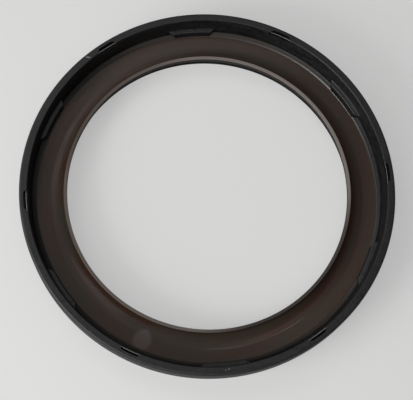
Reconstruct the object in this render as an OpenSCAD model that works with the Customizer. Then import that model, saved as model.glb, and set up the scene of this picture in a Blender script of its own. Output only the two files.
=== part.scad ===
// Rotary shaft oil seal, with its open side up and its rear face on Z = 0.
// The seal's axis is Z. A stamped steel case is moulded into a black rubber
// casing, and a brown lip disc is bonded into the casing's open side.

/* [Fitting sizes] */
// Diameter of the housing bore that the casing is pressed into
housing_d = 105; // [102:0.5:120]
// Diameter of the shaft that the lip runs on
shaft_d = 80; // [70:0.5:84]
// Width of the seal along its axis
seal_w = 10; // [9:0.5:14]

/* [Rubber casing] */
// Height of the chamfer on the outer edge of the front rim
rim_chamfer_h = 0.8; // [0.3:0.1:1.5]
// Depth of the same chamfer, across the rim
rim_chamfer_t = 0.45; // [0.2:0.05:0.8]
// Length of the lead-in taper at the rear
taper_h = 3; // [1:0.5:4]
// How much the radius shrinks along the taper
taper_t = 0.8; // [0.3:0.1:1]
// Thickness of the rubber outside the steel wall
cover_t = 1.55; // [1.2:0.05:2]
// Thickness of the rubber film inside the steel wall, at the rim
film_t = 0.15; // [0.1:0.05:0.5]
// Thickness of the rubber over the edge of the steel wall
edge_cover_t = 0.5; // [0.15:0.05:0.6]
// How much the inner wall leans inward from the rim to the groove floor
wall_draft = 0.8; // [0.1:0.1:1]
// Width of the groove floor between the inner wall and the lip disc
floor_w = 1.1; // [0.8:0.1:2]
// How much the groove floor rises towards the inner wall
floor_rise = 0.6; // [0.2:0.1:1]
// Radius of the fillet between the groove floor and the inner wall
floor_fillet_r = 0.25; // [0.1:0.05:0.4]
// Height of the sloped step that stands over the edge of the lip disc
step_h = 0.25; // [0.1:0.05:0.5]
// Width of the same step
step_w = 0.3; // [0.1:0.05:0.5]
// Thickness of the rubber on the rear face
rear_cover_t = 0.7; // [0.5:0.1:1.2]
// Thickness of the rubber seat under the lip disc
seat_t = 0.6; // [0.5:0.1:1.5]
// Thickness of the rubber over the inner edge of the steel flange
end_cover_t = 1; // [0.5:0.1:1.5]

/* [Dust lip] */
// Gap between the dust lip and the shaft
dust_gap = 0.7; // [0.2:0.1:1.5]
// Thickness of the dust lip at its edge
dust_edge_t = 0.3; // [0.2:0.05:0.5]
// Height of the dust lip's edge above the rear face
dust_lift = 0.1; // [0:0.05:0.3]
// Depth of the relief groove behind the dust lip
relief_d = 0.7; // [0.3:0.1:1]
// Width of the relief groove's outer slope
relief_w = 0.8; // [0.4:0.1:1.2]

/* [Tabs inside the wall] */
// Number of tabs, and of rim pockets between them
tab_count = 6; // [3:1:8]
// Angle of the first tab
tab_angle = 35.5; // [0:0.5:60]
// Depth of the tabs' front faces below the rim
tab_drop = 4.5; // [3:0.1:5]
// Width of a tab at the wall
tab_base_w = 15; // [8:0.5:18]
// Width of a tab at its free edge
tab_tip_w = 11.5; // [5:0.5:13]
// How far the tabs' free edges stay back from the lip disc
tab_setback = 0.2; // [0:0.05:0.5]
// How far the tabs' feet reach over the lip disc
tab_reach = 0.1; // [0:0.1:1]
// Chamfer along the free edge of a tab
tab_chamfer = 0.2; // [0.1:0.05:0.4]

/* [Pockets in the rim] */
// Depth of a pocket below the rim
pocket_d = 1.3; // [0.6:0.1:2]
// Width of a pocket at the inner wall
pocket_base_w = 6.4; // [5:0.2:12]
// Width of a pocket at its outer side
pocket_tip_w = 4.4; // [3:0.2:9]
// Gap between the steel wall and the outer side of a pocket
pocket_gap = 0.3; // [0.2:0.05:0.6]

/* [Steel case] */
// Thickness of the steel sheet
case_t = 0.6; // [0.5:0.1:1]
// Outer radius of the bend between the wall and the flange
case_bend_r = 1.2; // [1.1:0.1:2]
// Bevel on the outer edge of the steel wall
case_bevel = 0.35; // [0.1:0.05:0.4]

/* [Sealing lip] */
// Thickness of the lip disc
lip_t = 0.9; // [0.6:0.1:1.2]
// How far the lip's bore is smaller than the shaft, on the radius
lip_grip = 0.5; // [0.2:0.1:1]
// Width of the curve that turns the lip towards the open side, across the seal
lip_curve_w = 4.4; // [2:0.1:5]
// Height of the same curve, along the axis
lip_curve_h = 2.4; // [1.5:0.1:3]
// Length of the straight land at the lip's edge, with its chamfer
lip_land = 1.2; // [0.8:0.1:2.5]
// Least width of the flat part of the lip disc
lip_flat_w = 0.4; // [0.2:0.1:2]
// Width that the lip disc needs free of its seat to bend
lip_free_w = 3.4; // [2:0.1:4.5]
// Chamfer on the inner corner of the lip's cut edge
lip_chamfer = 0.3; // [0.1:0.05:0.4]

/* [Hidden] */
$fn = 144;
arc_steps = 10;
slack = 1;

// Radii, from the housing inward and from the shaft outward
casing_r = housing_d / 2;
case_r = casing_r - cover_t;
case_bore_r = case_r - case_t;
rim_bore_r = case_bore_r - film_t;
wall_foot_r = rim_bore_r - wall_draft;
disc_r = wall_foot_r - floor_w;
lip_bore_r = shaft_d / 2 - lip_grip;
lip_skirt_r = lip_bore_r + lip_t;
curve_w = min(lip_curve_w, disc_r - lip_flat_w - lip_skirt_r);
curve_axis_r = lip_skirt_r + curve_w;
seat_bore_r = lip_skirt_r + lip_free_w;
flange_bore_r = seat_bore_r + end_cover_t;
dust_r = shaft_d / 2 + dust_gap;

// Heights, from the rear face up
flange_z = rear_cover_t + case_t;
seat_z = flange_z + seat_t;
disc_z = seat_z + lip_t;
floor_z = disc_z + step_h;
curve_axis_z = disc_z + lip_curve_h;
lip_z = curve_axis_z + lip_land;
tab_z = seal_w - tab_drop;
case_z = seal_w - edge_cover_t;

// Radius of the casing's inner wall at a height
function wall_r(z) = wall_foot_r + wall_draft * (z - floor_z) / (seal_w - floor_z);

// Points along an arc about a centre, from one angle to another
function arc(centre, r, from, to) =
    [for (i = [0 : arc_steps]) let (a = from + (to - from) * i / arc_steps) centre + r * [cos(a), sin(a)]];

// Outline of the casing's section, with the groove open at the front and the dust lip at the rear
module casing_outline() {
    lean = atan2(wall_draft, seal_w - floor_z);
    step_top = [disc_r + step_w, floor_z];
    foot = [wall_r(floor_z + floor_rise), floor_z + floor_rise];
    slope = atan2(floor_rise, foot[0] - step_top[0]);
    tangent = floor_fillet_r / tan((90 + lean + slope) / 2);
    fillet_axis = foot + tangent * [sin(lean), cos(lean)] + floor_fillet_r * [-cos(lean), sin(lean)];
    polygon(concat(
        [
            [casing_r - taper_t, 0],
            [casing_r, taper_h],
            [casing_r, seal_w - rim_chamfer_h],
            [casing_r - rim_chamfer_t, seal_w],
            [rim_bore_r, seal_w]
        ],
        arc(fillet_axis, floor_fillet_r, -lean, slope - 90),
        [
            step_top,
            [disc_r, disc_z],
            [disc_r, seat_z],
            [seat_bore_r, seat_z],
            [seat_bore_r, flange_z],
            [dust_r, dust_lift + dust_edge_t],
            [dust_r, dust_lift],
            [seat_bore_r, relief_d],
            [seat_bore_r + relief_w, 0]
        ]
    ));
}

// Section of the steel case, a wall and a flange joined by a bend
module case_section() {
    bend_r = case_r - case_bend_r;
    bend_z = rear_cover_t + case_bend_r;
    translate([flange_bore_r, rear_cover_t]) square([bend_r - flange_bore_r, case_t]);
    polygon([
        [case_bore_r, bend_z],
        [case_r, bend_z],
        [case_r, case_z - case_bevel],
        [case_r - case_bevel, case_z],
        [case_bore_r, case_z]
    ]);
    intersection() {
        difference() {
            translate([bend_r, bend_z]) circle(r = case_bend_r);
            translate([bend_r, bend_z]) circle(r = case_bend_r - case_t);
        }
        translate([bend_r, rear_cover_t]) square([case_bend_r, case_bend_r]);
    }
}

// Points of the lip's curve at a distance behind its front surface, a quarter ellipse from the flat disc to the land
function lip_curve(depth) =
    [for (i = [0 : arc_steps]) let (
        a = 90 * i / arc_steps,
        slope = [curve_w * cos(a), lip_curve_h * sin(a)],
        behind = [-slope[1], -slope[0]] / norm(slope)
    ) [curve_axis_r - curve_w * sin(a), curve_axis_z - lip_curve_h * cos(a)] + depth * behind];

// Section of the lip, from the bonded disc round the curve to the straight land
module lip_section() {
    front = lip_curve(0);
    back = lip_curve(lip_t);
    polygon(concat(
        [[disc_r, seat_z], [disc_r, disc_z]],
        front,
        [
            [lip_skirt_r, lip_z],
            [lip_bore_r + lip_chamfer, lip_z],
            [lip_bore_r, lip_z - lip_chamfer]
        ],
        [for (i = [arc_steps : -1 : 0]) back[i]]
    ));
}

// Wedge that is base_w wide at the radius base_r and tip_w wide at tip_r, along +X
module wedge(base_r, base_w, tip_r, tip_w) {
    side = (base_w - tip_w) / 2 / (base_r - tip_r);
    near = min(base_r, tip_r) - slack;
    far = max(base_r, tip_r) + slack;
    near_w = tip_w / 2 + side * (near - tip_r);
    far_w = tip_w / 2 + side * (far - tip_r);
    linear_extrude(height = seal_w + slack)
        polygon([[near, -near_w], [far, -far_w], [far, far_w], [near, near_w]]);
}

// One trapezoid tab that stands against the inner wall, with its foot on the edge of the lip disc
module tab() {
    tip_r = disc_r + tab_setback;
    intersection() {
        rotate_extrude() polygon([
            [disc_r - tab_reach, disc_z],
            [rim_bore_r, disc_z],
            [wall_r(tab_z) + film_t / 2, tab_z],
            [tip_r + tab_chamfer, tab_z],
            [tip_r, tab_z - tab_chamfer]
        ]);
        wedge(wall_r(tab_z), tab_base_w, tip_r, tab_tip_w);
    }
}

// One pocket in the rim, open to the inner wall, that bares the edge of the steel
module pocket() {
    intersection() {
        translate([0, 0, seal_w - pocket_d]) difference() {
            cylinder(h = pocket_d + slack, r = case_r + pocket_gap);
            translate([0, 0, -slack]) cylinder(h = pocket_d + 3 * slack, r = wall_foot_r - slack);
        }
        wedge(rim_bore_r, pocket_base_w, case_r + pocket_gap, pocket_tip_w);
    }
}

module steel_case() {
    color("#a8abad") rotate_extrude() case_section();
}

module rubber_casing() {
    color("#1c1d1f") difference() {
        union() {
            rotate_extrude() casing_outline();
            for (i = [0 : tab_count - 1]) rotate(tab_angle + i * 360 / tab_count) tab();
        }
        rotate_extrude() case_section();
        for (i = [0 : tab_count - 1]) rotate(tab_angle + (i + 0.5) * 360 / tab_count) pocket();
    }
}

module sealing_lip() {
    color("#4b3c35") rotate_extrude() lip_section();
}

steel_case();
rubber_casing();
sealing_lip();
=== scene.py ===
import math

import bmesh
import bpy
from mathutils import Euler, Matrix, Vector


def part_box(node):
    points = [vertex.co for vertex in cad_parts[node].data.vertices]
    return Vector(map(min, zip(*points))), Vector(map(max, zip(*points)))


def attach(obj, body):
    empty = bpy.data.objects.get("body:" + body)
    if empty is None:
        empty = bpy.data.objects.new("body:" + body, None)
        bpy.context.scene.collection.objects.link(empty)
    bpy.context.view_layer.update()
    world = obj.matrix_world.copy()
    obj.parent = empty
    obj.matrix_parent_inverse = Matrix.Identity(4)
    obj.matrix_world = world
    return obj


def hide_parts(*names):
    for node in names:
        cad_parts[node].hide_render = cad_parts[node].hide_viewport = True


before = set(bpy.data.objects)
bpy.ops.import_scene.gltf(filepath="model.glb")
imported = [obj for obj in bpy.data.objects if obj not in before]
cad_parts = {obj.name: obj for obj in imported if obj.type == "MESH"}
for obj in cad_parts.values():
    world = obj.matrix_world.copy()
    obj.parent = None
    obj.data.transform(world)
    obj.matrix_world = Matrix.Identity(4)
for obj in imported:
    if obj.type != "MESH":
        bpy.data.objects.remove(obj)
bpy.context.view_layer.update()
mm = 0.001
turn = math.tau

# what the CAD frame says about the seal, in mm from its axis and from its rear face
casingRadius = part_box("rubber_casing")[1].x / mm
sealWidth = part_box("rubber_casing")[1].z / mm
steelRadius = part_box("steel_case")[1].x / mm
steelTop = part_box("steel_case")[1].z / mm
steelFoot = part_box("steel_case")[0].z / mm
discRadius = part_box("sealing_lip")[1].x / mm
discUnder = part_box("sealing_lip")[0].z / mm
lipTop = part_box("sealing_lip")[1].z / mm
discThickness = 0.9  # the one size here that no box gives
discTop = discUnder + discThickness
print("frame loaded: radius", round(casingRadius, 2), "width", round(sealWidth, 2))


# Mesh helpers

mergeDistance = 1e-7
smallRounding = 0.4  # a corner with less rounding than this, in mm, takes the first number of segments
cornerSegments = (4, 8)
edgeSegments = 3
keystoneSpare = 1.5  # mm of ring past each end of a keystone, before the ends are cut
smoothAngle = 32


def newPiece(name, bm):
    bmesh.ops.remove_doubles(bm, verts=bm.verts, dist=mergeDistance)
    mesh = bpy.data.meshes.new(name)
    bm.to_mesh(mesh)
    bm.free()
    piece = bpy.data.objects.new(name, mesh)
    bpy.context.scene.collection.objects.link(piece)
    return piece


def roundedSection(section):
    # an outline of (radius, height, rounding) corners in mm becomes one face with round corners
    bm = bmesh.new()
    corners = [bm.verts.new((radius * mm, 0, height * mm)) for radius, height, rounding in section]
    bm.faces.new(corners)
    few, many = cornerSegments
    for corner, (radius, height, rounding) in zip(corners, section):
        if rounding:
            bmesh.ops.bevel(bm, geom=[corner], offset=rounding * mm, affect="VERTICES",
                            segments=few if rounding < smallRounding else many, profile=0.5, material=-1)
    return bm


def spinRing(section, steps):
    bm = roundedSection(section)
    bmesh.ops.delete(bm, geom=bm.faces[:], context="FACES_ONLY")
    bmesh.ops.spin(bm, geom=bm.verts[:] + bm.edges[:], cent=(0, 0, 0), axis=(0, 0, 1), angle=turn,
                   steps=steps, use_merge=True)
    bmesh.ops.remove_doubles(bm, verts=bm.verts, dist=mergeDistance)
    bmesh.ops.recalc_face_normals(bm, faces=bm.faces)
    return bm


def spinKeystone(section, middle, base, tip, stepAngle):
    # a stretch of ring about the angle middle, cut by a plane at each end so that it narrows from base
    # to tip, which are each a radius and a width in mm
    (baseRadius, baseWidth), (tipRadius, tipWidth) = base, tip
    reach = math.ceil((baseWidth / 2 + keystoneSpare) / baseRadius / stepAngle) * stepAngle
    bm = roundedSection(section)
    bmesh.ops.rotate(bm, verts=bm.verts, cent=(0, 0, 0), matrix=Euler((0, 0, -reach)).to_matrix())
    bmesh.ops.spin(bm, geom=bm.verts[:] + bm.edges[:] + bm.faces[:], cent=(0, 0, 0), axis=(0, 0, 1),
                   angle=2 * reach, steps=round(2 * reach / stepAngle))
    slope = (baseWidth - tipWidth) / 2 / (baseRadius - tipRadius)
    for side in (-1, 1):
        onPlane = Vector((baseRadius, side * baseWidth / 2, 0)) * mm
        outward = Vector((-slope, side, 0)).normalized()
        bmesh.ops.bisect_plane(bm, geom=bm.verts[:] + bm.edges[:] + bm.faces[:], plane_co=onPlane,
                               plane_no=outward, clear_outer=True)
        bmesh.ops.holes_fill(bm, edges=[e for e in bm.edges if e.is_boundary], sides=0)
    bmesh.ops.remove_doubles(bm, verts=bm.verts, dist=mergeDistance)
    bmesh.ops.recalc_face_normals(bm, faces=bm.faces)
    bmesh.ops.rotate(bm, verts=bm.verts, cent=(0, 0, 0),
                     matrix=Euler((0, 0, math.radians(middle))).to_matrix())
    return bm


def roundEdges(bm, edges, radius):
    bmesh.ops.bevel(bm, geom=edges, offset=radius * mm, affect="EDGES", segments=edgeSegments,
                    profile=0.5, material=-1)
    # a bevel can leave warped faces, which a boolean cuts badly
    bmesh.ops.triangulate(bm, faces=bm.faces)


def joinMeshes(bm, other):
    # the other mesh goes in as well, and its own bmesh is freed
    carrier = bpy.data.meshes.new("carrier")
    other.to_mesh(carrier)
    other.free()
    bm.from_mesh(carrier)
    bpy.data.meshes.remove(carrier)


def applyModifiers(piece):
    bpy.context.view_layer.update()
    shaped = piece.evaluated_get(bpy.context.evaluated_depsgraph_get())
    mesh = bpy.data.meshes.new_from_object(shaped)
    old = piece.data
    piece.modifiers.clear()
    piece.data = mesh
    bpy.data.meshes.remove(old)
    mesh.name = piece.name


def applyBoolean(piece, tool, operation):
    cut = piece.modifiers.new(operation.lower(), "BOOLEAN")
    cut.operation = operation
    cut.object = tool
    cut.solver = "EXACT"
    applyModifiers(piece)
    bpy.data.objects.remove(tool)


def smoothShading(piece):
    # edges sharper than the smooth angle stay sharp, and flat faces stay flat
    piece.data.shade_smooth()
    piece.data.set_sharp_from_angle(angle=math.radians(smoothAngle))
    keepFlat = piece.modifiers.new("flat faces stay flat", "WEIGHTED_NORMAL")
    keepFlat.keep_sharp = True
    applyModifiers(piece)


def makeRing(name, section, steps):
    piece = newPiece(name, spinRing(section, steps))
    smoothShading(piece)
    return piece


# Shader maths: a wire is one output socket, and sums and products of wires add their own Math nodes

class Wire:
    def __init__(self, tree, socket=None):
        self.tree = tree
        self.socket = socket

    def node(self, kind, settings=None, inputs=None, output=0):
        made = self.tree.nodes.new("ShaderNode" + kind)
        for name, value in (settings or {}).items():
            setattr(made, name, value)
        for name, value in (inputs or {}).items():
            if isinstance(value, Wire):
                self.tree.links.new(value.socket, made.inputs[name])
            else:
                made.inputs[name].default_value = value
        return Wire(self.tree, made.outputs[output])

    def other(self, output):
        return Wire(self.tree, self.socket.node.outputs[output])

    def maths(self, operation, *values):
        return self.node("Math", {"operation": operation}, dict(enumerate(values)))

    def __add__(self, other):
        return self.maths("ADD", self, other)

    def __sub__(self, other):
        return self.maths("SUBTRACT", self, other)

    def __rsub__(self, other):
        return self.maths("SUBTRACT", other, self)

    def __mul__(self, other):
        return self.maths("MULTIPLY", self, other)

    def __truediv__(self, other):
        return self.maths("DIVIDE", self, other)

    def __rtruediv__(self, other):
        return self.maths("DIVIDE", other, self)

    def __pow__(self, other):
        return self.maths("POWER", self, other)

    def __rpow__(self, other):
        return self.maths("POWER", other, self)

    def __abs__(self):
        return self.maths("ABSOLUTE", self)

    __radd__ = __add__
    __rmul__ = __mul__

    def fade(self, low, high, start=0.0, end=1.0):
        return self.node("MapRange", {"interpolation_type": "SMOOTHSTEP"}, {
            "Value": self, "From Min": low, "From Max": high, "To Min": start, "To Max": end})

    def rise(self, low, high):
        # 0 up to low and 1 from high, which are in mm
        return self.fade(low * mm, high * mm)

    def fall(self, low, high):
        # 1 up to low and 0 from high, which are in mm
        return self.fade(low * mm, high * mm, 1.0, 0.0)

    def blend(self, first, second):
        # a colour Mix node takes its colours at 6 and 7, and gives its result at 2
        first, second = (v if isinstance(v, Wire) else (*v, 1) for v in (first, second))
        return self.node("Mix", {"data_type": "RGBA"}, {0: self, 6: first, 7: second}, output=2)


sectorCore = 0.4  # the share of a sector's reach that has its full strength
patchFade = (0.4, 1.3)  # where a patch starts to fade and where it ends, as squares of its half size


def newMaterial(name, settings):
    # the shader's constant values go on its own sockets, and the wire given back is the place on the piece
    material = bpy.data.materials.new(name)
    material.use_nodes = True
    shader = material.node_tree.nodes["Principled BSDF"]
    for socket, value in settings.items():
        shader.inputs[socket].default_value = value
    return material, shader, Wire(material.node_tree).node("TexCoord", output="Object")


def feed(shader, socket, wire):
    wire.tree.links.new(wire.socket, shader.inputs[socket])


def ringPlaces(place):
    # where a point lies on the ring: x, y and height in metres, and its distance from the axis
    x = place.node("SeparateXYZ", inputs={0: place}, output="X")
    y, height = x.other("Y"), x.other("Z")
    radius = (x * x + y * y) ** 0.5
    return x, y, height, radius


def noise(place, scale, detail):
    return place.node("TexNoise", inputs={"Vector": place, "Scale": scale, "Detail": detail})


def ringNoise(x, y, height, radius, around, across, detail):
    # noise that is drawn out along the ring: around patches in a turn, and features across mm wide
    stretched = x.node("CombineXYZ", inputs={
        "X": x / radius * (around / turn),
        "Y": y / radius * (around / turn),
        "Z": (radius + height) * (1 / (across * mm)),
    })
    return noise(stretched, 1.0, detail)


def sector(x, y, radius, middle, reach):
    # 1 about the angle middle round the axis, and 0 further than reach degrees from it
    facing = (x * math.cos(math.radians(middle)) + y * math.sin(math.radians(middle))) / radius
    return facing.fade(math.cos(math.radians(reach)), math.cos(math.radians(sectorCore * reach)))


def patch(x, y, centre, size, angle):
    # 1 inside an ellipse seen from the front, 0 outside it
    along, across = math.cos(math.radians(angle)), math.sin(math.radians(angle))
    east, north = x - centre[0] * mm, y - centre[1] * mm
    u = (east * along + north * across) * (2 / (size[0] * mm))
    v = (north * along - east * across) * (2 / (size[1] * mm))
    return (u * u + v * v).fade(*patchFade, 1.0, 0.0)


# Steel case: the stamped ring inside the rubber, whose edge shows in the pockets

steel = {
    "steps": 360,
    "sheet": 0.6,
    "bend": 1.2,
    "bevel": 0.35,
    "flangeBore": 44.8,
    "edgeRounding": 0.08,
    "bevelRounding": 0.1,
    "innerRounding": 0.06,
}


def steelSection(c):
    inner = steelRadius - c["sheet"]
    flange = steelFoot + c["sheet"]
    return [
        (c["flangeBore"], steelFoot, c["edgeRounding"]),
        (steelRadius, steelFoot, c["bend"]),
        (steelRadius, steelTop - c["bevel"], c["bevelRounding"]),
        (steelRadius - c["bevel"], steelTop, c["edgeRounding"]),
        (inner, steelTop, c["innerRounding"]),
        (inner, flange, c["bend"] - c["sheet"]),
        (c["flangeBore"], flange, c["edgeRounding"]),
    ]


# Rubber casing: a moulded section spun round the axis, with tabs on its inner wall and pockets in its rim

casing = {
    "steps": 360,
    "outerRounding": 0.3,
    "rearTaper": (0.8, 3.0),
    "taperRounding": 0.8,
    "rimChamfer": (0.45, 0.8),
    "chamferRounding": 0.25,
    "rimRadius": 50.2,
    "rimRounding": 0.2,
    # the wall leans in by wallLean from the rim's inner edge down to the tops of the tabs
    "wallLean": 0.55,
    "wallFoot": (49.47, 3.65),
    "floorFillet": 0.25,
    "floorFoot": (48.46, 3.1),
    "stepRounding": 0.05,
    "stepFoot": 48.16,
    "seatBore": 43.8,
    "seatFoot": 1.3,
    "seatRounding": 0.2,
    "rearRounding": 0.12,
    "dustLip": (40.7, 0.1, 0.3),
    "dustRounding": 0.08,
    "relief": (0.8, 0.7),
    "reliefRounding": 0.25,
    "tabs": 6,
    # degrees from +X to the first tab
    "tabAngle": 35.5,
    "tabTop": 5.5,
    "tabTip": 48.5,
    "tabToe": 48.04,
    "toeBead": 0.24,
    "toeRounding": 0.05,
    # the tab's underside lies this far above the disc's front
    "tabLift": 0.02,
    # the base's width is measured this far inside the rim's inner edge
    "tabBaseDepth": 0.5,
    "tabBaseWidth": 15.0,
    "tabTipWidth": 11.5,
    "tabRounding": 0.14,
    "tabSideRounding": 0.07,
    # only edges this far above the groove floor's foot and inside the rim's inner edge are rounded
    "tabClear": (0.1, 0.6),
    # the fillet between wall and tab, and its points inwards and upwards as shares of it
    "tabFillet": 0.25,
    "filletCurve": ((0, 0.4), (0.3, 0.1), (1, 0)),
    # how far the fillet's top runs into the wall
    "filletRun": 0.06,
    "pocketFloor": 8.7,
    "pocketRadius": 51.25,
    "pocketRounding": 0.12,
    "pocketBaseWidth": 6.4,
    "pocketTipWidth": 4.4,
    "pocketCorner": 0.25,
    # how far the pocket's cutter runs past the wall and the rim
    "pocketSpare": 1.0,
    # an edge counts as sharp from this angle in radians, and as upright from this height in mm
    "sharp": 0.6,
    "upright": 0.5,
}


def casingSection(c):
    taperIn, taperUp = c["rearTaper"]
    chamferIn, chamferDown = c["rimChamfer"]
    dustRadius, dustLow, dustEdge = c["dustLip"]
    reliefOut, reliefUp = c["relief"]
    return [
        (casingRadius - taperIn, 0, c["outerRounding"]),
        (casingRadius, taperUp, c["taperRounding"]),
        (casingRadius, sealWidth - chamferDown, c["outerRounding"]),
        (casingRadius - chamferIn, sealWidth, c["chamferRounding"]),
        (c["rimRadius"], sealWidth, c["rimRounding"]),
        (*c["wallFoot"], c["floorFillet"]),
        (*c["floorFoot"], c["stepRounding"]),
        (c["stepFoot"], discTop, 0),
        (discRadius, discTop, 0),
        (discRadius, discUnder, 0),
        (c["seatBore"], discUnder, c["rearRounding"]),
        (c["seatBore"], c["seatFoot"], c["seatRounding"]),
        (dustRadius, dustLow + dustEdge, c["rearRounding"]),
        (dustRadius, dustLow, c["dustRounding"]),
        (c["seatBore"], reliefUp, c["reliefRounding"]),
        (c["seatBore"] + reliefOut, 0, c["rearRounding"]),
    ]


def tabSection(c):
    wall = c["rimRadius"] - c["wallLean"]
    foot = discTop + c["tabLift"]
    top = c["tabTop"]
    fillet = c["tabFillet"]
    return [
        (c["tabToe"], foot, 0),
        (c["rimRadius"], foot, 0),
        (c["rimRadius"], top + fillet, 0),
        (wall + c["filletRun"], top + fillet, 0),
        *((wall - inwards * fillet, top + upwards * fillet, 0) for inwards, upwards in c["filletCurve"]),
        (c["tabTip"], top, c["tabRounding"]),
        (c["tabToe"] + c["toeBead"], discTop + c["toeBead"], c["toeRounding"]),
    ]


def pocketSection(c):
    inside = c["wallFoot"][0] - c["pocketSpare"]
    above = sealWidth + c["pocketSpare"]
    return [
        (inside, c["pocketFloor"], 0),
        (c["pocketRadius"], c["pocketFloor"], c["pocketRounding"]),
        (c["pocketRadius"], above, 0),
        (inside, above, 0),
    ]


def makeTab(c, middle, stepAngle):
    base = (c["rimRadius"] - c["tabBaseDepth"], c["tabBaseWidth"])
    tab = spinKeystone(tabSection(c), middle, base, (c["tabTip"], c["tabTipWidth"]), stepAngle)
    aboveFloor, insideRim = c["tabClear"]
    low = (c["floorFoot"][1] + aboveFloor) * mm
    far = (c["rimRadius"] - insideRim) * mm
    sides = [e for e in tab.edges if e.calc_face_angle(0) > c["sharp"] and e.is_convex
             and min(v.co.z for v in e.verts) > low
             and max(math.hypot(v.co.x, v.co.y) for v in e.verts) < far]
    roundEdges(tab, sides, c["tabSideRounding"])
    return tab


def makePocket(c, middle, stepAngle):
    pocket = spinKeystone(pocketSection(c), middle, (c["rimRadius"], c["pocketBaseWidth"]),
                          (c["pocketRadius"], c["pocketTipWidth"]), stepAngle)
    corners = [e for e in pocket.edges if e.calc_face_angle(0) > c["sharp"]
               and abs(e.verts[0].co.z - e.verts[1].co.z) > c["upright"] * mm]
    roundEdges(pocket, corners, c["pocketCorner"])
    return pocket


def makeCasing(c):
    bm = spinRing(casingSection(c), c["steps"])
    cavity = spinRing(steelSection(steel), steel["steps"])
    bmesh.ops.reverse_faces(cavity, faces=cavity.faces)
    joinMeshes(bm, cavity)
    piece = newPiece("rubberCasing", bm)

    tabs = bmesh.new()
    pockets = bmesh.new()
    stepAngle = turn / c["steps"]
    pitch = 360 / c["tabs"]
    for i in range(c["tabs"]):
        joinMeshes(tabs, makeTab(c, c["tabAngle"] + i * pitch, stepAngle))
        joinMeshes(pockets, makePocket(c, c["tabAngle"] + (i + 0.5) * pitch, stepAngle))
    applyBoolean(piece, newPiece("tabs", tabs), "UNION")
    applyBoolean(piece, newPiece("pockets", pockets), "DIFFERENCE")
    smoothShading(piece)
    return piece


rubberCasing = makeCasing(casing)
print("rubberCasing:", len(rubberCasing.data.polygons), "faces")
steelCase = makeRing("steelCase", steelSection(steel), steel["steps"])
print("steelCase:", len(steelCase.data.polygons), "faces")


# Sealing lip: a disc bonded to the casing that curves up to a cut edge

lip = {
    "steps": 360,
    "thickness": discThickness,
    "bore": 39.5,
    "curveWidth": 4.4,
    "curveHeight": 2.4,
    "curveSteps": 16,
    "dish": 0.12,
    "discRounding": 0.04,
    "cutLean": 0.24,
    "cutRounding": 0.04,
    "boreRounding": 0.15,
}


def lipSection(c):
    skirt = c["bore"] + c["thickness"]
    axisRadius = skirt + c["curveWidth"]
    axisHeight = discTop + c["curveHeight"]
    # the back runs one thickness behind the curve, square to it, and the dish lowers the front alone
    front, back = [], []
    for i in range(c["curveSteps"] + 1):
        a = turn / 4 * i / c["curveSteps"]
        across, up = c["curveWidth"] * math.sin(a), c["curveHeight"] * math.cos(a)
        point = Vector((axisRadius - across, axisHeight - up))
        behind = Vector((-c["curveHeight"] * math.sin(a), -c["curveWidth"] * math.cos(a))).normalized()
        front.append((point.x, point.y - c["dish"] * math.cos(a) ** 2, 0))
        back.append((*(point + c["thickness"] * behind), 0))
    return [
        (discRadius, discUnder, 0),
        (discRadius, discTop, c["discRounding"]),
        *front,
        (skirt, lipTop, c["cutRounding"]),
        (c["bore"], lipTop - c["cutLean"], c["boreRounding"]),
        *back[::-1],
    ]


sealingLip = makeRing("sealingLip", lipSection(lip), lip["steps"])
print("sealingLip:", len(sealingLip.data.polygons), "faces")


# Finishes

# sizes and radii are in mm, and angles round the axis in degrees from +X
# a noise is its scale and detail, and one along the ring is its patches in a turn, width across and detail
# a contrast is the two values of a noise between which it goes from 0 to 1

rubberLook = {
    "shader": {"IOR": 1.5, "Specular IOR Level": 0.35, "Coat Roughness": 0.45, "Coat IOR": 1.6},
    "black": (0.0026, 0.0028, 0.0032),
    "grey": (0.0090, 0.0092, 0.0094),
    "bloom": (900, 4.0),
    "flow": (40, 0.8, 2.0),
    "bloomShare": 0.6,
    "mottleContrast": (0.35, 0.65),
    "roughness": (0.34, 0.50),
    # radii between which the rear's roughness ends and the outside's begins
    "hidden": (44, 45),
    "hiddenRoughness": 0.9,
    "outside": (51.95, 52.1),
    "outsideRoughness": 0.65,
    "grain": (2600, 3.0),
    "grainContrast": (0.38, 0.62),
    "grainStrength": 0.35,
    "grainDepth": 0.03,
    # a film on rim and tab tops: shares of the mottle, the grain and an even coat, and its strength
    "rimFilm": (0.025, 0.0255, 0.026),
    "tabFilm": (0.044, 0.045, 0.046),
    "filmShares": (0.4, 1.2, 0.7),
    "filmStrength": 0.35,
    # how far under the front the film starts and is full
    "rimBand": (0.3, 0.1),
    # lowest and highest place of the tab tops, and the radius of the wall behind them
    "tabBand": (5.2, 5.8, 49.7),
    "tabSoft": (0.1, 0.2),
    # a brown tinge on the groove floor: its inner radius and top
    "tinge": (0.032, 0.024, 0.0195),
    "tingeBand": (48.42, 3.75),
    "tingeSoft": (0.1, 0.2),
    # angle, reach and outer radius of each stretch of it
    "tinged": ((90, 50, 49.4), (290, 75, 48.75)),
    # the thin glossy edge over the disc's rim, whose lighter colour is partly a painted highlight: inner
    # radius, outer radius and top
    "edge": (0.020, 0.016, 0.013),
    "edgeBand": (48.04, 48.48, 3.2),
    "edgeSoft": (0.06, 0.1),
    "edgeRoughness": 0.36,
    "scuff": (0.22, 0.22, 0.215),
    # centre, length and width, and the angle of the long side
    "scuffs": (
        ((-34.62, 37.79), (1.6, 0.36), -6),
        ((5.32, -50.62), (0.5, 0.24), 80),
        ((4.5, -50.9), (0.4, 0.2), 95),
    ),
}

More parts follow.
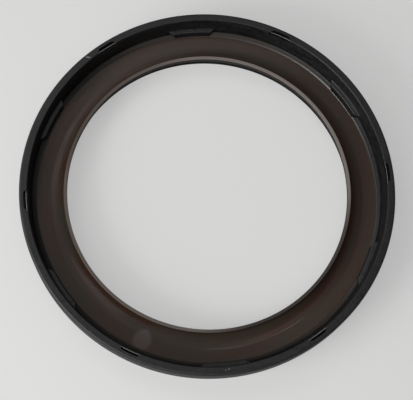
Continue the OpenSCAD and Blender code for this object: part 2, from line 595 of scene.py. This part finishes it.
lipLook = {
    "shader": {"IOR": 1.48, "Specular IOR Level": 0.42},
    "chocolate": (0.052, 0.0240, 0.0150),
    "olive": (0.039, 0.0275, 0.0175),
    "streaks": (9, 0.35, 3.0),
    "patches": (14, 3.0, 2.0),
    "streakShare": 0.5,
    "toneContrast": (0.40, 0.60),
    "roughness": (0.33, 0.50),
    "ridgeStrength": 0.8,
    "ridgeDepth": 0.02,
    # pale film on the strongest streaks
    "film": (0.085, 0.076, 0.070),
    "streakContrast": (0.5, 0.72),
    "streakStrength": 0.14,
    "smudge": (0.100, 0.080, 0.071),
    # centre, length and width, the angle of the long side, and the strength
    "smudges": (
        ((-17.9, -42.0), (6.0, 5.4), 247, 0.8),
        ((-17.2, -40.6), (3.6, 3.0), 247, 0.5),
    ),
    # angle, reach and strength of a stretch lightened as a painted sheen of light from above
    "paintedSheen": (100, 60, 0.15),
    # radius and width of a painted highlight line along the crease where the disc starts to curve, its
    # angle, reach and strength
    "creaseHighlight": (0.120, 0.097, 0.085),
    "creaseLine": (44.3, 0.6, 288, 23, 0.8),
    # where the line starts to fade and ends, as shares of its width, and how much it follows the tone
    "lineFade": (0.2, 0.5),
    "linePatchy": 0.6,
    "cut": (0.150, 0.126, 0.112),
    # how far under the lip's front the pale cut face starts and is full
    "cutBand": (0.09, 0.027),
    "cutShade": (0.022, 0.0160, 0.0125),
    # angle, reach and strength of each stretch of the cut face darkened as painted shade, where it leans
    # away from the light
    "cutShadedStretches": ((314, 52, 0.92), (138, 42, 0.4)),
    # the bore and the land behind the cut face are near black as painted shade inside the lip
    "bore": (0.0022, 0.0017, 0.0015),
    # how far outside the bore's radius it is dark with painted shade, and where that ends
    "boreBand": (0.05, 0.2),
    "boreRoughness": 0.95,
    "land": (0.010, 0.0085, 0.0075),
    # how far under the lip's front the land starts, is full, begins to end and is gone
    "landBand": (0.6, 0.75, 1.3, 1.6),
}

steelLook = {
    "shader": {"Metallic": 1.0},
    "bright": (0.30, 0.295, 0.285),
    "dull": (0.13, 0.125, 0.12),
    "drawn": (60, 0.08, 3.0),
    "drawnContrast": (0.3, 0.7),
    "roughness": (0.25, 0.45),
    # dark below the cut edge, which starts and is full this far under the steel's top
    "bonded": (0.006, 0.006, 0.006),
    "edgeBand": (0.06, 0.02),
}


def mixRoughness(c, tone):
    low, high = c["roughness"]
    return tone * (high - low) + low


def rubberFilm(c, colour, height, radius, mottle, speckle):
    # the colour with its film, and where the rim is
    patchy, grainy, even = c["filmShares"]
    film = (mottle * patchy + speckle * grainy + even) * c["filmStrength"]
    start, full = c["rimBand"]
    onRim = height.rise(sealWidth - start, sealWidth - full)
    colour = (onRim * film).blend(colour, c["rimFilm"])
    low, high, wall = c["tabBand"]
    soft, wallSoft = c["tabSoft"]
    onTab = height.rise(low - soft, low) * height.fall(high, high + soft)
    onTab = onTab * radius.fall(wall - wallSoft, wall)
    return (onTab * film).blend(colour, c["tabFilm"]), onRim


def rubberMaterial(c):
    material, shader, place = newMaterial("black rubber", c["shader"])
    x, y, height, radius = ringPlaces(place)
    flow = ringNoise(x, y, height, radius, *c["flow"])
    share = c["bloomShare"]
    mottle = (noise(place, *c["bloom"]) * share + flow * (1 - share)).fade(*c["mottleContrast"])

    inner, outer, top = c["edgeBand"]
    soft, topSoft = c["edgeSoft"]
    edge = radius.rise(inner - soft, inner) * radius.fall(outer, outer + soft)
    edge = edge * height.fall(top - topSoft, top)
    inner, top = c["tingeBand"]
    soft, wideSoft = c["tingeSoft"]
    onFloor = radius.rise(inner - soft, inner) * height.fall(top - wideSoft, top)
    tinge = onFloor * sum(
        sector(x, y, radius, middle, reach) * radius.fall(outer - soft, outer + wideSoft)
        for middle, reach, outer in c["tinged"])
    colour = tinge.blend(mottle.blend(c["black"], c["grey"]), c["tinge"])
    # painted highlight: the edge's lighter colour adds to the highlight that its coat and low roughness
    # give
    colour = edge.blend(colour, c["edge"])

    grain = noise(place, *c["grain"])
    colour, onRim = rubberFilm(c, colour, height, radius, mottle, grain.fade(*c["grainContrast"]))
    for centre, size, angle in c["scuffs"]:
        colour = (patch(x, y, centre, size, angle) * onRim).blend(colour, c["scuff"])
    feed(shader, "Base Color", colour)

    hidden = radius.fall(*c["hidden"])
    rough = mixRoughness(c, mottle) * (1 - hidden) + hidden * c["hiddenRoughness"]
    outside = radius.rise(*c["outside"])
    rough = rough * (1 - outside) + outside * c["outsideRoughness"]
    feed(shader, "Roughness", rough * (1 - edge) + edge * c["edgeRoughness"])
    feed(shader, "Coat Weight", edge)
    feed(shader, "Normal", grain.node("Bump", inputs={
        "Strength": c["grainStrength"], "Distance": c["grainDepth"] * mm, "Height": grain}))
    return material


def lipBrown(c, x, y, radius, streaks, tone):
    # the brown with its streaks and smudges, a stretch of painted sheen and a painted highlight line along
    # the crease
    brown = tone.blend(c["chocolate"], c["olive"])
    brown = (streaks.fade(*c["streakContrast"]) * c["streakStrength"]).blend(brown, c["film"])
    for centre, size, angle, strength in c["smudges"]:
        brown = (patch(x, y, centre, size, angle) * strength).blend(brown, c["smudge"])
    # painted sheen: the brown is lightened over the stretch where light from above falls on it
    middle, reach, strength = c["paintedSheen"]
    brown = (sector(x, y, radius, middle, reach) * (tone + 1) * strength).blend(brown, c["film"])
    # painted highlight: a lighter line along the crease where the disc starts to curve
    lineRadius, width, middle, reach, strength = c["creaseLine"]
    start, end = c["lineFade"]
    line = abs(radius - lineRadius * mm).fall(start * width, end * width)
    patchy = c["linePatchy"]
    line = line * sector(x, y, radius, middle, reach) * (tone * patchy + (1 - patchy))
    return (line * strength).blend(brown, c["creaseHighlight"])


def lipMaterial(c):
    material, shader, place = newMaterial("brown lip", c["shader"])
    x, y, height, radius = ringPlaces(place)
    streaks = ringNoise(x, y, height, radius, *c["streaks"])
    patches = ringNoise(x, y, height, radius, *c["patches"])
    share = c["streakShare"]
    tone = (streaks * share + patches * (1 - share)).fade(*c["toneContrast"])
    brown = lipBrown(c, x, y, radius, streaks, tone)

    # the cut face leans, so its depth is taken along the lean
    lean = lip["cutLean"] / lip["thickness"]
    underFace = height + ((lip["bore"] + lip["thickness"]) * mm - radius) * lean
    start, full = c["cutBand"]
    cut = underFace.rise(lipTop - start, lipTop - full)
    pale = c["cut"]
    # painted shade: the pale cut face is darkened over the stretches that lean away from the light
    for middle, reach, strength in c["cutShadedStretches"]:
        pale = (sector(x, y, radius, middle, reach) * strength).blend(pale, c["cutShade"])
    face = cut.blend(brown, pale)

    # painted shade: the bore and the land behind the cut face are darkened to near black
    dark, gone = c["boreBand"]
    inBore = radius.fall(lip["bore"] + dark, lip["bore"] + gone) * (1 - cut)
    start, full, end, gone = c["landBand"]
    land = height.rise(lipTop - gone, lipTop - end) * height.fall(lipTop - full, lipTop - start)
    feed(shader, "Base Color", inBore.blend(face, land.blend(c["bore"], c["land"])))
    feed(shader, "Roughness", mixRoughness(c, tone) * (1 - inBore) + inBore * c["boreRoughness"])
    feed(shader, "Normal", streaks.node("Bump", inputs={
        "Strength": c["ridgeStrength"], "Distance": c["ridgeDepth"] * mm, "Height": streaks}))
    return material


def steelMaterial(c):
    material, shader, place = newMaterial("bare steel edge", c["shader"])
    x, y, height, radius = ringPlaces(place)
    tint = ringNoise(x, y, height, radius, *c["drawn"]).fade(*c["drawnContrast"])
    start, full = c["edgeBand"]
    cutEdge = height.rise(steelTop - start, steelTop - full)
    feed(shader, "Base Color", cutEdge.blend(c["bonded"], tint.blend(c["dull"], c["bright"])))
    feed(shader, "Roughness", mixRoughness(c, tint))
    return material


rubberCasing.data.materials.append(rubberMaterial(rubberLook))
sealingLip.data.materials.append(lipMaterial(lipLook))
steelCase.data.materials.append(steelMaterial(steelLook))

for piece, node, slot in (
    (rubberCasing, "rubber_casing", "black_rubber"),
    (sealingLip, "sealing_lip", "brown_lip"),
    (steelCase, "steel_case", "case_steel"),
):
    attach(piece, "root")
    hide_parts(node)
print("finishes done")


# Stage: a pale floor, soft lights and the camera

stage = {
    "size": 3.0,
    "cells": 4,
    # a hair under the seal, in mm, so that the two faces don't flicker where they meet
    "floorGap": 0.02,
    "floor": (0.34, 0.34, 0.332),
    "floorDarker": 0.98,
    "floorTone": (9.0, 1.0),
    "floorShader": {"Roughness": 0.7, "Emission Color": (1, 1, 1, 1), "Emission Strength": 0.40},
    "world": (1.0, 1.0, 1.0),
    "worldStrength": 0.005,
    "lightDistance": 0.6,
    # angle round the axis from +X and elevation in degrees, disk size in metres, watts
    "lights": {
        "lowLeft": (210, 18, 0.4, 3.95),
        "lowFront": (240, 18, 0.4, 0.40),
        "left": (210, 42, 0.4, 0.65),
        "farLeft": (150, 42, 0.4, 0.38),
        "topLeft": (130, 52, 0.3, 0.30),
        "topRight": (60, 42, 0.4, 0.12),
        "front": (270, 42, 0.4, 0.15),
        "overRight": (320, 68, 0.2, 0.15),
        "overTop": (85, 68, 0.2, 0.15),
        "overhead": (240, 74, 0.3, 0.25),
        "right": (5, 42, 0.4, 0.12),
    },
}

# tilt and yaw in degrees, distance in mm from the middle of the seal's front, lens in mm, nearest in metres
view = {
    "tilt": 16.535,
    "yaw": -3.132,
    "distance": 310.0,
    "lens": 97.22,
    "shift": (-0.00596, -0.03446),
    "nearest": 0.01,
}


def makeFloor(c):
    bm = bmesh.new()
    bmesh.ops.create_grid(bm, x_segments=c["cells"], y_segments=c["cells"], size=c["size"] / 2)
    bmesh.ops.translate(bm, verts=bm.verts, vec=(0, 0, -c["floorGap"] * mm))
    piece = newPiece("floor", bm)
    material, shader, place = newMaterial("pale floor", c["floorShader"])
    darker = tuple(c["floorDarker"] * v for v in c["floor"])
    feed(shader, "Base Color", noise(place, *c["floorTone"]).blend(darker, c["floor"]))
    piece.data.materials.append(material)


def makeLights(c):
    world = bpy.data.worlds.new("room")
    bpy.context.scene.world = world
    world.use_nodes = True
    background = world.node_tree.nodes["Background"].inputs
    background["Color"].default_value = (*c["world"], 1)
    background["Strength"].default_value = c["worldStrength"]
    for name, (angle, elevation, size, power) in c["lights"].items():
        lamp = bpy.data.lights.new(name, "AREA")
        lamp.shape = "DISK"
        lamp.size = size
        lamp.energy = power
        light = bpy.data.objects.new(name, lamp)
        tilt = math.radians(elevation)
        direction = Vector((math.cos(tilt), 0, math.sin(tilt)))
        direction.rotate(Euler((0, 0, math.radians(angle))))
        light.location = direction * c["lightDistance"]
        light.rotation_euler = direction.to_track_quat("Z", "Y").to_euler()
        bpy.context.scene.collection.objects.link(light)


def makeCamera(c):
    camera = bpy.data.objects.new("camera", bpy.data.cameras.new("camera"))
    bpy.context.scene.collection.objects.link(camera)
    camera.data.lens = c["lens"]
    camera.data.shift_x, camera.data.shift_y = c["shift"]
    camera.data.clip_start = c["nearest"]
    camera.rotation_euler = (math.radians(c["tilt"]), math.radians(c["yaw"]), 0)
    back = camera.rotation_euler.to_matrix() @ Vector((0, 0, c["distance"]))
    camera.location = (Vector((0, 0, sealWidth)) + back) * mm
    bpy.context.scene.camera = camera


makeFloor(stage)
makeLights(stage)
makeCamera(view)
bpy.context.scene.view_settings.view_transform = "Standard"
print("stage done")
